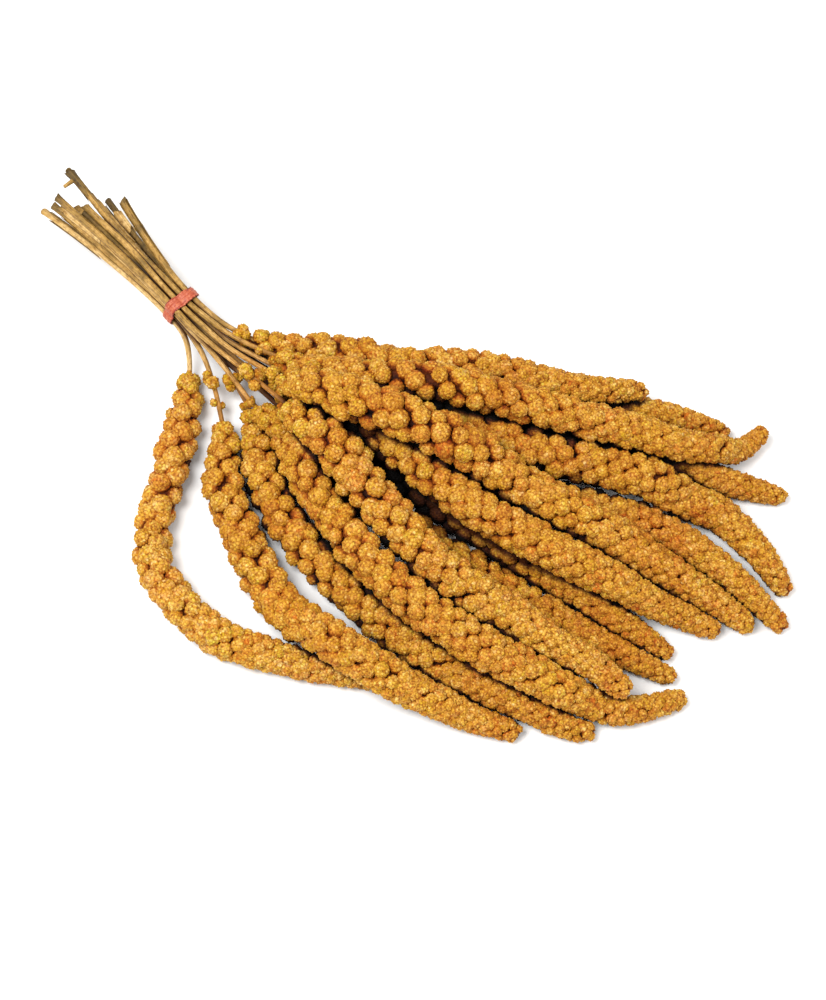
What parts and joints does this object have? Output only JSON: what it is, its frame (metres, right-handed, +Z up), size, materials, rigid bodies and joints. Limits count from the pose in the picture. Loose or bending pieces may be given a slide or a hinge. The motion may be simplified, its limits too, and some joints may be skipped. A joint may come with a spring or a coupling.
{
  "type": "tied bunch of foxtail millet heads",
  "caption": "Bunch of long dried foxtail millet heads on bare straw stalks, held by a wound rubber band and lying fanned out on its side.",
  "frame": {"origin": "centre of the bunch's outline seen from above, on the surface it lies on", "axes": "+X along the bunch from the cut ends of the stalks to the tips of the heads, +Z up, +Y to the left of +X"},
  "size_m": [0.5001, 0.2914, 0.0689],
  "materials": {
    "seed_heads": "dry golden orange seed in close rough lobes, matt",
    "straw_stalks": "dry straw, satin, with fine lengthwise streaks",
    "rubber_band": "coral red rubber, slightly dusty satin"
  },
  "bodies": {
    "root": {"millet_head_01": "seed_heads", "millet_head_02": "seed_heads", "millet_head_03": "seed_heads", "millet_head_04": "seed_heads", "millet_head_05": "seed_heads", "millet_head_06": "seed_heads", "millet_head_07": "seed_heads", "millet_head_08": "seed_heads", "millet_head_09": "seed_heads", "millet_head_10": "seed_heads", "millet_head_11": "seed_heads", "millet_head_12": "seed_heads", "millet_head_13": "seed_heads", "millet_head_14": "seed_heads", "millet_head_15": "seed_heads", "stalk_01": "straw_stalks", "stalk_02": "straw_stalks", "stalk_03": "straw_stalks", "stalk_04": "straw_stalks", "stalk_05": "straw_stalks", "stalk_06": "straw_stalks", "stalk_07": "straw_stalks", "stalk_08": "straw_stalks", "stalk_09": "straw_stalks", "stalk_10": "straw_stalks", "stalk_11": "straw_stalks", "stalk_12": "straw_stalks", "stalk_13": "straw_stalks", "stalk_14": "straw_stalks", "stalk_15": "straw_stalks", "rubber_band": "rubber_band"}
  },
  "joints": []
}
